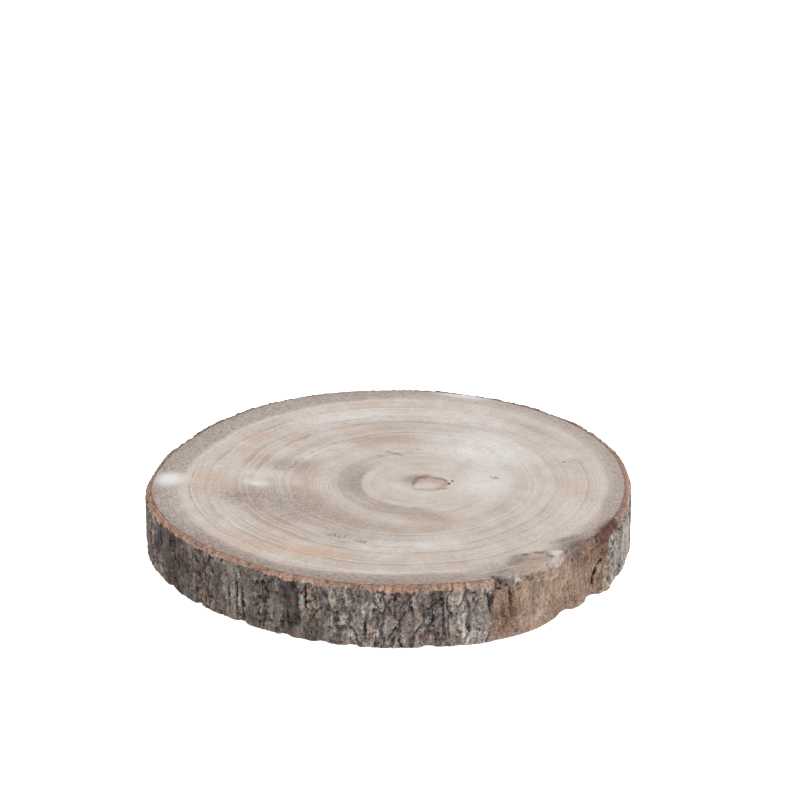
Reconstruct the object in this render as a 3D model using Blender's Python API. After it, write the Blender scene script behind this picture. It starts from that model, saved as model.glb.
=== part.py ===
"""A slice sawn across a small tree trunk, with its bark left on.

The slice grew as one piece, so it is one solid: sawn wood faces above and
below, joined by a furrowed bark wall.  Metres, +Z up, with the origin at the
middle of the underside, which lies at z = 0.
"""

import math

import bmesh
import bpy
from mathutils import Vector, noise

# Driving dimensions of the slice.
THICKNESS = 0.040
BARK_THICKNESS = 0.0037
STEPS_ROUND = 320
STEPS_UP = 6

# The trunk's outline over its bark: direction in degrees, anticlockwise from
# +X, and distance in metres from the middle.  It bulges into the collar of a
# side branch at 292 degrees and is flattened on both sides of 150 and 230.
OUTLINE = (
    (0, 0.1525),
    (30, 0.1542),
    (60, 0.1530),
    (90, 0.1513),
    (120, 0.1505),
    (148, 0.1470),
    (170, 0.1490),
    (188, 0.1520),
    (210, 0.1495),
    (232, 0.1470),
    (250, 0.1495),
    (270, 0.1525),
    (282, 0.1535),
    (292, 0.1567),
    (303, 0.1558),
    (319, 0.1495),
    (336, 0.1525),
)

# The saw leaves the bark's edges broken back: (how far in, how far down).
TOP_EDGE = (0.0018, 0.0040)
BOTTOM_EDGE = (0.0010, 0.0012)

# Between these directions the outer bark has come away, and what is left is
# smooth, with a crumbled top edge.
BARE_FROM, BARE_TO = 294, 331
BARE_FADE = 3
CRUMBLED_TOP_EDGE = (0.0030, 0.0026)

# Furrows that run up and down the bark, and how deep the deepest are cut.
FURROW_DEPTH = 0.0026
FURROW_WIDTH = 0.0075
FURROW_LENGTH = 0.030
SMOOTH_PATCH_RELIEF = 0.15

WOOD_COLOUR = (0.60, 0.53, 0.46, 1.0)
BARK_COLOUR = (0.14, 0.115, 0.10, 1.0)


def clear_scene():
    for obj in list(bpy.data.objects):
        bpy.data.objects.remove(obj, do_unlink=True)


def turn_between(a, b):
    """The angle in degrees from a to b, the short way round."""
    return (b - a + 180) % 360 - 180


def trunk_radius(direction):
    """The smooth outline of the bark, before any furrows, through OUTLINE."""
    count = len(OUTLINE)
    turns = [(direction - corner) % 360 for corner, radius in OUTLINE]
    first = turns.index(min(turns))
    before, start, end, after = (OUTLINE[(first + i) % count] for i in (-1, 0, 1, 2))
    span = (end[0] - start[0]) % 360
    share = turns[first] / span
    slope_in = span * (end[1] - before[1]) / ((end[0] - before[0]) % 360)
    slope_out = span * (after[1] - start[1]) / ((after[0] - start[0]) % 360)
    return (
        (2 * share**3 - 3 * share**2 + 1) * start[1]
        + (share**3 - 2 * share**2 + share) * slope_in
        + (3 * share**2 - 2 * share**3) * end[1]
        + (share**3 - share**2) * slope_out
    )


def smooth_step(low, high, value):
    share = min(max((value - low) / (high - low), 0.0), 1.0)
    return share * share * (3 - 2 * share)


def bareness(direction):
    """1 where the outer bark has come away, 0 where it is whole."""
    started = smooth_step(-BARE_FADE, BARE_FADE, turn_between(BARE_FROM, direction))
    ended = smooth_step(-BARE_FADE, BARE_FADE, turn_between(BARE_TO, direction))
    return started * (1 - ended)


def furrow(direction, height):
    """How far the bark is cut back at a place, in metres."""
    across = OUTLINE[0][1] / FURROW_WIDTH
    angle = math.radians(direction)
    place = Vector((across * math.cos(angle), across * math.sin(angle), height / FURROW_LENGTH))
    # The noise runs through zero along winding lines, which are the furrows.
    nearness = 1 - min(abs(noise.noise(place)) / 0.35, 1.0)
    rest = 1 - bareness(direction) * (1 - SMOOTH_PATCH_RELIEF)
    return FURROW_DEPTH * nearness**2 * rest


def wall_levels():
    """Heights of the bark wall's rings, below the one at its top edge."""
    low, high = BOTTOM_EDGE[1], THICKNESS - TOP_EDGE[1]
    return [low + (high - low) * i / STEPS_UP for i in range(STEPS_UP)]


def ring(place):
    """One ring of points round the slice.  place gives (radius, height)."""
    points = []
    for i in range(STEPS_ROUND):
        direction = 360 * i / STEPS_ROUND
        radius, height = place(direction)
        angle = math.radians(direction)
        points.append(Vector((radius * math.cos(angle), radius * math.sin(angle), height)))
    return points


def wall_ring(height):
    return ring(lambda d: (trunk_radius(d) - furrow(d, height), height))


def underside_ring():
    """The outer edge of the face that the slice rests on."""
    return ring(lambda d: (trunk_radius(d) - furrow(d, 0) - BOTTOM_EDGE[0], 0))


def top_edge(direction):
    """How far in and how far down the top edge is broken back."""
    share = bareness(direction)
    whole, crumbled = TOP_EDGE, CRUMBLED_TOP_EDGE
    return [a + (b - a) * share for a, b in zip(whole, crumbled)]


def upper_wall_ring():
    """The top of the bark wall, where its broken edge begins."""

    def place(direction):
        height = THICKNESS - top_edge(direction)[1]
        return trunk_radius(direction) - furrow(direction, height), height

    return ring(place)


def top_ring():
    """The outer edge of the sawn face on top."""

    def place(direction):
        back = top_edge(direction)[0] + 0.5 * furrow(direction, THICKNESS)
        return trunk_radius(direction) - back, THICKNESS

    return ring(place)


def wood_ring():
    """Where bark and wood meet on the sawn face on top."""
    inside = BARK_THICKNESS + 0.5 * FURROW_DEPTH
    return ring(lambda d: (trunk_radius(d) - inside, THICKNESS))


def raise_cap(bm, cap, points):
    """Extrudes the cap and puts its corners at the given points."""
    made = bmesh.ops.extrude_face_region(bm, geom=[cap, *cap.edges])["geom"]
    new_cap = next(g for g in made if isinstance(g, bmesh.types.BMFace))
    for vert, point in zip(corners_in_order(new_cap), points):
        vert.co = point
    return new_cap


def corners_in_order(cap):
    """The cap's corners, anticlockwise from the one nearest to +X."""
    return sorted(cap.verts, key=lambda v: round(math.atan2(v.co.y, v.co.x) % math.tau, 6))


def build_slice():
    bm = bmesh.new()
    bmesh.ops.create_circle(bm, cap_ends=True, segments=STEPS_ROUND, radius=OUTLINE[0][1])
    cap = bm.faces[:][0]
    for vert, point in zip(corners_in_order(cap), underside_ring()):
        vert.co = point

    rings = [wall_ring(height) for height in wall_levels()]
    rings += [upper_wall_ring(), top_ring(), wood_ring()]
    for points in rings:
        cap = raise_cap(bm, cap, points)
    bmesh.ops.recalc_face_normals(bm, faces=bm.faces)

    mesh = bpy.data.meshes.new("wood_slice")
    bm.to_mesh(mesh)
    bm.free()
    return mesh


def centre_on_origin(mesh):
    """Moves the slice sideways until its box is centred on the Z axis."""
    for axis in (0, 1):
        values = [vert.co[axis] for vert in mesh.vertices]
        middle = (min(values) + max(values)) / 2
        for vert in mesh.vertices:
            vert.co[axis] -= middle


def make_material(name, colour, roughness):
    material = bpy.data.materials.new(name)
    material.use_nodes = True
    shader = material.node_tree.nodes["Principled BSDF"]
    shader.inputs["Base Color"].default_value = colour
    shader.inputs["Roughness"].default_value = roughness
    shader.inputs["Metallic"].default_value = 0.0
    return material


def paint(mesh):
    """Wood on the two sawn faces, bark on everything between them."""
    mesh.materials.append(make_material("sawn_wood", WOOD_COLOUR, 0.75))
    mesh.materials.append(make_material("bark", BARK_COLOUR, 0.95))
    for face in mesh.polygons:
        face.material_index = 0 if len(face.vertices) == STEPS_ROUND else 1


def main():
    clear_scene()
    mesh = build_slice()
    centre_on_origin(mesh)
    paint(mesh)
    mesh.shade_smooth()
    mesh.set_sharp_from_angle(angle=math.radians(35))
    wood_slice = bpy.data.objects.new("wood_slice", mesh)
    bpy.context.collection.objects.link(wood_slice)


main()
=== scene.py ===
"""A slice sawn across a small tree trunk: pale dry end grain in a ring of bark."""

import math

import bpy
import numpy as np
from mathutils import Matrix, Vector, noise


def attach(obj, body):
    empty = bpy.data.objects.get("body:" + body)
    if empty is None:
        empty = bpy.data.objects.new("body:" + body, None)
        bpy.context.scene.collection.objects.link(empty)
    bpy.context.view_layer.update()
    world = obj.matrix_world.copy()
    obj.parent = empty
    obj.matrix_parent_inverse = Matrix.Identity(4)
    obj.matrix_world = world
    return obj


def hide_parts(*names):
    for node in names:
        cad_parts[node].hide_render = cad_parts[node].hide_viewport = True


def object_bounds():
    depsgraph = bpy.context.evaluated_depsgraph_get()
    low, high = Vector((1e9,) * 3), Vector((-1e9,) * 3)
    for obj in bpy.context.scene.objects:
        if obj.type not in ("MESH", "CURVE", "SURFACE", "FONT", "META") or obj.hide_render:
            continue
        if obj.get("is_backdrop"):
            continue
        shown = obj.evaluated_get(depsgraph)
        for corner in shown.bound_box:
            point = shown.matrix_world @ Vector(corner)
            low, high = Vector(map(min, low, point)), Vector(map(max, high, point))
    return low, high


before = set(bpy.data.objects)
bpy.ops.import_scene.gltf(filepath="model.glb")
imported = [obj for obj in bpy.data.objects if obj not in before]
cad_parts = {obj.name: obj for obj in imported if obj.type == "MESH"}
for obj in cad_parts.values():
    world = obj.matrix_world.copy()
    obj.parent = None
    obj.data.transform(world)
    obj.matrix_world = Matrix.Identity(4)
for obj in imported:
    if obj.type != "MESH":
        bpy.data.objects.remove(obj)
cad_low, cad_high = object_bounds()

# --------------------
# The blank.
# A drum the thickness of the slice, as the saw leaves it before any bark or
# grain is worked into it.  It is drawn up from a disc in bpy's edit mode, and
# its wall, its rims and the wood beside the branch knot are cut up finer.

MM = 0.001
THICKNESS = cad_high.z - cad_low.z
DRUM_RADIUS = 0.150
INNER_BARK = 3.7 * MM
STEPS_ROUND = 300
STEPS_UP = 12
TOP_RINGS = 38
UNDERSIDE_RINGS = 20
KNOT_FROM, KNOT_TO = 284, 336
KNOT_REACH = 38 * MM
FINER = 3

for obj in list(bpy.context.selected_objects):
    obj.select_set(False)
bpy.ops.mesh.primitive_circle_add(
    vertices=STEPS_ROUND, radius=DRUM_RADIUS, fill_type="NGON", location=(0, 0, cad_low.z)
)
sawn_slice = bpy.context.object
sawn_slice.name = "sawn_slice"


def select_faces(wanted):
    """Selects the faces that wanted says yes to, and nothing else."""
    bpy.ops.object.mode_set(mode="OBJECT")
    for face in sawn_slice.data.polygons:
        face.select = wanted(face)
    bpy.ops.object.mode_set(mode="EDIT")


def ring_the_cap(rings):
    """Insets the selected cap into one ring of inner bark, rings of wood and a middle."""
    bpy.ops.mesh.inset(thickness=INNER_BARK)
    wood_radius = DRUM_RADIUS - INNER_BARK
    for _ in range(rings - 1):
        bpy.ops.mesh.inset(thickness=wood_radius / rings)
    bpy.ops.mesh.poke()


def direction_of(point):
    """The direction of a point from the middle, in degrees from +X."""
    return math.degrees(math.atan2(point.y, point.x)) % 360


def needs_finer(face):
    """Yes for the wall, the two bark rims, and the wood round the branch knot."""
    centre = face.center
    out = math.hypot(centre.x, centre.y)
    if out > DRUM_RADIUS - INNER_BARK:
        return True
    near_knot = KNOT_FROM < direction_of(centre) < KNOT_TO
    return near_knot and out > DRUM_RADIUS - KNOT_REACH and centre.z > THICKNESS / 2


bpy.ops.object.mode_set(mode="EDIT")
bpy.ops.mesh.select_mode(type="FACE")
bpy.ops.mesh.select_all(action="SELECT")
for _ in range(STEPS_UP):
    bpy.ops.mesh.extrude_region_move(
        TRANSFORM_OT_translate={"value": (0, 0, THICKNESS / STEPS_UP)}
    )
ring_the_cap(TOP_RINGS)
select_faces(lambda face: len(face.vertices) == STEPS_ROUND)
ring_the_cap(UNDERSIDE_RINGS)
select_faces(needs_finer)
bpy.ops.mesh.subdivide(number_cuts=FINER)
bpy.ops.mesh.select_all(action="SELECT")
bpy.ops.mesh.normals_make_consistent(inside=False)
bpy.ops.object.mode_set(mode="OBJECT")

# Where each corner lies on the drum: its direction, how far out, how far up.
blank = sawn_slice.data
drum = np.empty(len(blank.vertices) * 3)
blank.vertices.foreach_get("co", drum)
drum = drum.reshape(-1, 3)
drum_turn = np.arctan2(drum[:, 1], drum[:, 0])
drum_out = np.hypot(drum[:, 0], drum[:, 1])
drum_up = (drum[:, 2] - cad_low.z) / THICKNESS
on_top = drum_up > 1 - 1e-4
on_underside = drum_up < 1e-4
on_wall = drum_out > DRUM_RADIUS - 1e-5
WOOD_RADIUS = DRUM_RADIUS - INNER_BARK

# --------------------
# The trunk's outline.
# The trunk isn't round: it is flattened in two places and bulges into the
# collar of a side branch.  The outline is the CAD solid's own, in metres from
# the middle for each direction, smoothed over its furrows.

OUTLINE_STEPS = 720
OUTLINE_REACH = 1.2
OUTLINE_SMOOTHING = 1.6

cad_corners = np.array([v.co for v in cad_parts["wood_slice"].data.vertices])
cad_direction = np.degrees(np.arctan2(cad_corners[:, 1], cad_corners[:, 0]))
cad_out = np.hypot(cad_corners[:, 0], cad_corners[:, 1])


def degrees_apart(a, b):
    return (b - a + 180) % 360 - 180


outline_directions = np.arange(OUTLINE_STEPS) * 360 / OUTLINE_STEPS
widest = np.array(
    [
        cad_out[abs(degrees_apart(cad_direction, direction)) < OUTLINE_REACH].max()
        for direction in outline_directions
    ]
)
apart = degrees_apart(outline_directions[:, None], outline_directions[None, :])
weights = np.exp(-((apart / OUTLINE_SMOOTHING) ** 2))
outline_radii = weights @ widest / weights.sum(axis=1)


def outline(direction):
    """The trunk's radius over its bark, for directions in degrees."""
    return np.interp(direction % 360, outline_directions, outline_radii, period=360)


def smooth_step(low, high, value):
    share = np.clip((value - low) / (high - low), 0, 1)
    return share * share * (3 - 2 * share)


def between(low, high, fade, value):
    """1 between low and high, fading to 0 outside them."""
    return smooth_step(low - fade, low + fade, value) * (
        1 - smooth_step(high - fade, high + fade, value)
    )


# --------------------
# The bark.
# Dry bark split into tall plates by furrows: knobbly at the front, fibrous at
# the left.  Where the side branch grew it has come away and bares tan fibres.
# Along the top the saw has torn the outer bark back to the inner bark.

PLATE_WIDTH = 10.0
PLATE_HEIGHT = 30.0
FURROW_DEPTH = 1.7
SPLIT_WIDTH = 4.0
SPLIT_HEIGHT = 15.0
SPLIT_DEPTH = 0.7
PLATE_STEP = 1.1
LUMP_WIDTH = 4.2
LUMP_HEIGHT = 12.6
LUMP_RELIEF = 1.2
FIBRE_RELIEF = 0.75
CRUMB_RELIEF = 0.7
BARE_RELIEF = 0.45
LEAST_RELIEF = 0.4
SWAY_SIZE = 24
INNER_SWAY = 0.35
# How plates are bent out of straight: (size, push), in millimetres.
BENDS = ((15, 4.5), (4, 1.4))
PUSH_Y, PUSH_Z = Vector((31.4, 0, 7.3)), Vector((0, 47.1, 18.9))

# How the bark changes round the trunk: (direction, how plated and knobbly it
# is, how pale its weathering).  The front is knobblier and paler.
BARK_ROUND = (
    (0, 0.7, 0.75),
    (35, 1.05, 0.55),
    (80, 0.75, 0.35),
    (120, 1.1, 0.5),
    (160, 0.8, 0.3),
    (194, 0.65, 0.4),
    (206, 0.7, -0.3),
    (216, 0.6, 0.25),
    (227, 0.55, 0.35),
    (237, 0.75, 0.3),
    (246, 0.85, -0.45),
    (256, 0.95, 0.35),
    (266, 1.12, 0.42),
    (277, 1.12, 0.38),
    (285, 1.1, 0.5),
    (291, 0.8, 0.95),
    (335, 0.45, 1.05),
    (350, 0.5, 0.95),
)

# Splits that stand out: (direction and height at the foot, the same at the
# head, half width, depth), in degrees and millimetres.
CRACKS = (
    (199, 4, 198.2, 22, 0.9, 1),
    (215.6, 8, 214.6, 35, 0.9, 1.3),
    (220.8, 3, 220, 18, 0.9, 1),
    (229.6, 4, 229, 27, 0.7, 1.9),
    (231.8, 8, 231.6, 33, 0.9, 2.3),
    (233.9, 4, 233.2, 28, 0.7, 2.3),
    (246.9, 5, 246.4, 19, 0.6, 2),
    (251.3, 18, 250.6, 37, 0.7, 2.9),
    (256.4, 28, 255, 35, 0.6, 1.6),
    (261.9, 30, 260.9, 38, 0.6, 1.8),
    (264.8, 4, 265.3, 20, 0.8, 2.4),
    (268.8, 28, 267.9, 38, 0.6, 2.2),
    (269.8, 4, 272.8, 17, 0.9, 2.2),
    (275.9, 19, 275.3, 33, 0.6, 2),
    (282.6, 17, 281.9, 36, 0.6, 2.8),
    (285.4, 24, 287.4, 31, 0.6, 1.4),
    (288.4, 8, 287.4, 17, 0.8, 1.6),
    (292.8, 16, 292.2, 37, 0.8, 2.4),
    (293.6, 33, 294.2, 40, 0.6, 2.6),
    (297.9, 22, 297.2, 40, 0.6, 2.8),
    (304.2, 12, 304.8, 36, 1, 0.8),
    (326.2, 9, 327.4, 18, 1.5, 3.4),
    (327.4, 19, 330, 23, 1, 2.8),
    (340, 8, 341.5, 26, 1, 0.8),
    (14, 6, 13, 33, 0.8, 2.2),
    (52, 3, 54, 27, 0.8, 2.4),
    (97, 10, 95.5, 38, 0.8, 2.2),
    (133, 4, 132, 30, 0.9, 2.4),
    (171, 12, 172.5, 36, 0.8, 2),
)

# Bites out of the foot of the bark: (direction, half width in degrees, how
# high and how deep in millimetres).
CHIPS = (
    (208, 1.2, 1.6, 1.6),
    (219.5, 1, 1.6, 1.6),
    (233.5, 1, 2.4, 2.2),
    (245.5, 1, 2, 1.8),
    (255, 1.4, 1.2, 1.6),
    (262, 0.8, 2.6, 2.6),
    (279, 1.4, 1.2, 1.4),
    (315.5, 1.6, 2.6, 2),
    (325.5, 1.6, 3.4, 2.6),
    (20, 1.6, 1.6, 1.8),
    (66, 1, 2.2, 2),
    (104, 1.8, 1.6, 1.8),
    (151, 1.2, 2, 2.2),
)

# Where the trunk swells or is hollowed beside the branch: (direction, height,
# half width in degrees, half height and outward swelling in millimetres).
SWELLINGS = (
    (309.5, 36, 5, 10, 2.2),
    (319.5, 40, 3.6, 6, -2.2),
    (320.5, 0, 3, 9, 2.4),
    (331, 0, 3.6, 10, 2.6),
    (35, 20, 28, 60, 1.2),
)

BARE_FROM, BARE_TO = 293.2, 332.0
BARE_LEAN = 0.14
BARE_BACK = 1.1
RIM_DROP = 0.9
RIM_DROP_REACH = 6
RIM_ROUNDING = 0.7
RIM_DEPTH = 2.3
RIM_BACK = 0.7
# How much of the rim is left round the trunk: (direction, share).
RIM_ROUND = (
    (0, 0.9), (15, 0.8), (35, 0.55), (60, 0.35), (110, 0.3), (150, 0.4),
    (180, 0.75), (190, 1), (325, 1), (334, 0.55), (344, 0.6),
)
TOP_ROUND_REACH = 4.0
FOOT_ROUNDING = 0.4
FOOT_ROUND_REACH = 1.8

direction = np.degrees(drum_turn) % 360
up_mm = drum_up * THICKNESS / MM
bark_corners = np.flatnonzero(drum_out > WOOD_RADIUS - 1e-5)
bark_turn = drum_turn[bark_corners]
bark_direction = direction[bark_corners]
bark_up = up_mm[bark_corners]
from_top = THICKNESS / MM - bark_up
across = outline(bark_direction) / MM
wall_share = np.clip((drum_out[bark_corners] - WOOD_RADIUS) / INNER_BARK, 0, 1)


def stretched(point, wide, tall):
    """A point counted in steps of wide millimetres across and tall ones up."""
    return Vector((point.x / wide, point.y / wide, point.z / tall))


def pushes(place, size):
    """Which way slow noise pushes a place: up to about 1 each way."""
    spot = place / size
    return Vector((noise.noise(spot), noise.noise(spot + PUSH_Y), noise.noise(spot + PUSH_Z)))


def bark_patterns(x, y, z):
    """Noise that shapes the bark at a place in millimetres: how near it is to
    the edge of its plate and of its split piece, its plate's own number, lumps,
    fibres, crumbs, a slow sway, and how smooth its plate is."""
    place = Vector((x, y, z))
    bent = place.copy()
    for size, push in BENDS:
        bent += pushes(place, size) * push
    near, centres = noise.voronoi(stretched(bent, PLATE_WIDTH, PLATE_HEIGHT))
    split_near, _ = noise.voronoi(stretched(bent, SPLIT_WIDTH, SPLIT_HEIGHT))
    return (
        near[1] - near[0],
        split_near[1] - split_near[0],
        noise.cell(centres[0] * 7.3),
        noise.fractal(stretched(bent, LUMP_WIDTH, LUMP_HEIGHT), 0.8, 2.1, 3),
        noise.fractal(stretched(place, 2, 11), 0.6, 2.1, 4),
        noise.fractal(place / 2.2, 0.4, 2.2, 3),
        noise.noise(place / SWAY_SIZE),
        noise.fractal(stretched(place, 9, 30) + Vector((40, 0, 0)), 0.7, 2.1, 2),
    )


patterns = np.array(
    [
        bark_patterns(x, y, z)
        for x, y, z in zip(across * np.cos(bark_turn), across * np.sin(bark_turn), bark_up)
    ]
)
plate_gap, split_gap, plate_number, lump, fibre, crumb, sway, smoothness = patterns.T


def round_the_trunk(table, where):
    """The columns of a table whose first column is a direction, in other directions."""
    directions, *columns = zip(*table)
    return [np.interp(where, directions, column, period=360) for column in columns]


knobbly, pale = round_the_trunk(BARK_ROUND, bark_direction)
rough = 1.15 - 0.75 * smooth_step(-0.05, 0.30, smoothness)
least_rough = np.interp(bark_direction, (240, 262, 292, 333, 340), (0.4, 0.95, 0.7, 0.7, 0.4))
rough = np.maximum(rough, least_rough)
furrow = 1 - smooth_step(0.0, 0.16 + 0.08 * sway, plate_gap)
furrow *= smooth_step(-0.35, 0.20, sway + 0.4 * lump)
split = 1 - smooth_step(0.0, 0.16, split_gap)
split *= smooth_step(-0.1, 0.3, lump - sway) * rough

crack = np.zeros(len(bark_corners))
for foot_direction, foot, head_direction, head, half_width, depth in CRACKS:
    along = np.clip((bark_up - foot) / (head - foot), 0, 1)
    middle = foot_direction + (head_direction - foot_direction) * along
    aside = np.radians(degrees_apart(middle, bark_direction)) * across
    aside += 1.1 * crumb + 1.2 * sway + 0.5 * lump
    beyond = bark_up - (foot + (head - foot) * along)
    taper = 0.25 + 0.75 * np.sin(np.pi * np.clip(along, 0.02, 0.98))
    taper *= smooth_step(-0.8, -0.1, crumb + 0.4 * lump)
    width = half_width * (0.6 + 0.5 * taper)
    nearness = np.exp(-((aside / width) ** 2) - (beyond / 1.2) ** 2)
    crack = np.maximum(crack, depth * nearness * taper)

# The bare patch ends at the right in broken bark whose edge leans.
edge_shift = np.where(bark_direction > 312, BARE_LEAN * (bark_up - 22), 0) + 0.5 * crumb
bare = between(BARE_FROM, BARE_TO, 0.35, bark_direction - edge_shift)

relief = 0.8 + knobbly * (
    FURROW_DEPTH * furrow
    + SPLIT_DEPTH * split
    + PLATE_STEP * (plate_number - 0.5)
    - LUMP_RELIEF * lump * rough
)
relief -= (FIBRE_RELIEF * fibre + CRUMB_RELIEF * crumb) * rough
bare_relief = BARE_BACK + 1.0 * sway - BARE_RELIEF * (fibre + 0.6 * crumb + 0.8 * lump)
relief += (bare_relief - relief) * bare
relief = (relief + np.hypot(relief, LEAST_RELIEF)) / 2 + crack

chip = np.zeros(len(bark_corners))
chip_lift = np.zeros(len(bark_corners))
for chip_direction, half_width, high, deep in CHIPS:
    aside = degrees_apart(chip_direction, bark_direction) / half_width
    bite = high * np.exp(-(aside**2))
    above = bark_up - bite - 0.25 * crumb
    chip = np.maximum(chip, deep * (1 - smooth_step(-0.9, 0.5, above)))
    chip_lift = np.maximum(chip_lift, bite)
relief = np.maximum(relief, chip)

swelling = np.zeros(len(bark_corners))
for bump_direction, height, half_width, half_height, out in SWELLINGS:
    aside = degrees_apart(bump_direction, bark_direction) / half_width
    swelling += out * np.exp(-(aside**2) - ((bark_up - height) / half_height) ** 2)

# The inner bark shows along the top, down to a ragged edge.
rim_foot = RIM_DEPTH * (1 + 0.8 * sway + 0.35 * lump)
rim_foot *= np.interp(bark_direction, (180, 240, 262, 290), (0.65, 0.8, 1.0, 0.9))
rim = (1 - smooth_step(-1.8, 1.8, from_top - rim_foot)) * (1 - bare)
rim *= round_the_trunk(RIM_ROUND, bark_direction)[0]
relief += rim * (RIM_BACK + 0.7 * fibre - 0.6 * np.minimum(relief, 2.5))

# Top and foot are broken back.
rounding = RIM_ROUNDING * (1 - smooth_step(0, TOP_ROUND_REACH, from_top)) ** 2
rounding += FOOT_ROUNDING * (1 - smooth_step(0, FOOT_ROUND_REACH, bark_up)) ** 2
inner_edge = across - INNER_BARK / MM - INNER_SWAY * sway
outer = np.maximum(across - relief - rounding + swelling, inner_edge + 0.5)
bark_radius = inner_edge + (outer - inner_edge) * wall_share
drop = np.maximum(RIM_DROP * (0.8 + 0.6 * sway + 0.7 * crumb), 0.1)
drop *= smooth_step(RIM_DROP_REACH, 0, from_top) * wall_share**1.5
chip_lift *= wall_share * (1 - smooth_step(0, 3, bark_up / np.maximum(chip_lift, 0.1)))
bark_z = bark_up - drop + chip_lift

corners = np.zeros_like(drum)
corners[bark_corners, 0] = bark_radius * np.cos(bark_turn) * MM
corners[bark_corners, 1] = bark_radius * np.sin(bark_turn) * MM
corners[bark_corners, 2] = cad_low.z + bark_z * MM

# --------------------
# The wood.
# Growth rings are round at the pith, which lies off centre, and take on the
# trunk's outline as they grow.  Saw and sander leave the faces all but flat.

PITH = np.array((25.0, -3.0))
RING_SMOOTHING = 25.0
TRUNK_SHAPED = 8

wood_corners = np.flatnonzero(drum_out <= WOOD_RADIUS - 1e-5)
edge_turn = drum_turn[wood_corners]
edge_direction = direction[wood_corners]
edge_across = outline(edge_direction) / MM
edge_places = zip(
    edge_across * np.cos(edge_turn), edge_across * np.sin(edge_turn), up_mm[wood_corners]
)
edge_sway = np.array([noise.noise(Vector(place) / SWAY_SIZE) for place in edge_places])
edge_radius = edge_across - INNER_BARK / MM - INNER_SWAY * edge_sway

round_weights = np.exp(-((apart / RING_SMOOTHING) ** 2))
round_radii = round_weights @ outline_radii / round_weights.sum(axis=1)
round_radius = np.interp(edge_direction, outline_directions, round_radii, period=360) / MM
round_radius -= INNER_BARK / MM
growth = drum_out[wood_corners] / WOOD_RADIUS
ring_radius = round_radius + (edge_radius - round_radius) * growth**TRUNK_SHAPED
for axis, ray in enumerate((np.cos(edge_turn), np.sin(edge_turn))):
    corners[wood_corners, axis] = PITH[axis] + growth * (ring_radius * ray - PITH[axis])
corners[wood_corners, :2] *= MM
corners[wood_corners, 2] = cad_low.z + up_mm[wood_corners] * MM

# Beside the branch knot the upper face crumbles away: (x, y, length, width,
# turn in degrees, depth) for each hollow, in millimetres.
HOLLOWS = (
    (65.5, -137.5, 7, 4, -20, 3.4),
    (72, -136.5, 5, 4, 20, 3),
    (74, -141, 3, 6, 20, 2.6),
    (104, -107, 18, 12, -20, -1.8),
    (96.5, -107, 6, 2.6, -30, 2.4),
    (89, -102, 16, 3, 5, 0.9),
    (79, -112, 14, 5, 60, 0.6),
    (108.5, -100.5, 9, 4, -35, 3),
    (114, -97, 4, 3, 30, 2),
    (120, -92, 5, 2.5, 50, 2),
    (95, -127, 30, 13, 52, 2.4),
    (116, -97, 22, 6, 40, 1),
    (133, -72, 30, 7, 62, 1.2),
)
CRUMBLE_FROM, CRUMBLE_TO = 294.0, 331.0
CRUMBLE_REACH = 7.0
CRUMBLE_DROP = 1.5
FACE_RELIEF = 0.12
KNOT_RELIEF = 0.5
KNOT_NEAR, KNOT_FAR = 16, 32
FACE_DEPTH = 15

upper = np.flatnonzero(on_top | (on_wall & (drum_up > 0.6)))
upper_x, upper_y = corners[upper, :2].T / MM
face_bits = np.array(
    [
        (
            noise.noise(Vector((x, y, 0)) / 18),
            noise.fractal(Vector((x, y, 5)) / 3.0, 0.6, 2.1, 3),
            noise.fractal(Vector((x, y, 9)) / 1.6, 0.5, 2.1, 2),
        )
        for x, y in zip(upper_x, upper_y)
    ]
)
face_sway, face_lump, face_crumb = face_bits.T
sunk = FACE_RELIEF * (1 + face_sway)
for hollow_x, hollow_y, hollow_length, hollow_width, turn, depth in HOLLOWS:
    cosine, sine = math.cos(math.radians(turn)), math.sin(math.radians(turn))
    along = ((upper_x - hollow_x) * cosine + (upper_y - hollow_y) * sine) / (hollow_length / 2)
    aside = ((upper_y - hollow_y) * cosine - (upper_x - hollow_x) * sine) / (hollow_width / 2)
    out = np.hypot(along, aside) + 0.5 * face_lump
    sunk += depth * (1 - smooth_step(0.3, 1.4, out))
upper_direction = direction[upper]
from_edge = outline(upper_direction) / MM - np.hypot(upper_x, upper_y)
crumbling = between(CRUMBLE_FROM, CRUMBLE_TO, 2.0, upper_direction)
crumbled = smooth_step(CRUMBLE_REACH, 0.5, from_edge + 2.5 * face_lump)
sunk += crumbling * crumbled * CRUMBLE_DROP * (1 + 0.8 * face_lump + 0.5 * face_crumb)
knot_near = crumbling * smooth_step(KNOT_FAR, KNOT_NEAR, from_edge)
sunk += knot_near * KNOT_RELIEF * (0.6 + face_lump + 0.6 * face_crumb)
sunk *= 1 - smooth_step(0, FACE_DEPTH, THICKNESS / MM - up_mm[upper])
corners[upper, 2] -= np.maximum(sunk, 0) * MM

# The finished slice just fills the CAD solid's box.
for axis in range(2):
    low, high = corners[:, axis].min(), corners[:, axis].max()
    share = (corners[:, axis] - low) / (high - low)
    corners[:, axis] = cad_low[axis] + share * (cad_high[axis] - cad_low[axis])
blank.vertices.foreach_set("co", corners.ravel())
blank.update()
bpy.ops.object.shade_smooth()

# --------------------
# Numbers kept on the mesh for the finishes.
# How hollow the bark is at a place, where its zones lie, and for the wood its
# direction from the pith, its growth from 0 at the pith to 1 at the bark, and
# how far across the grey sapwood it lies.

HOLLOW_REACH = 14
HOLLOW_FULL = 1.5
CRACK_FULL = 2.0
SAWN_TO = 323

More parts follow.
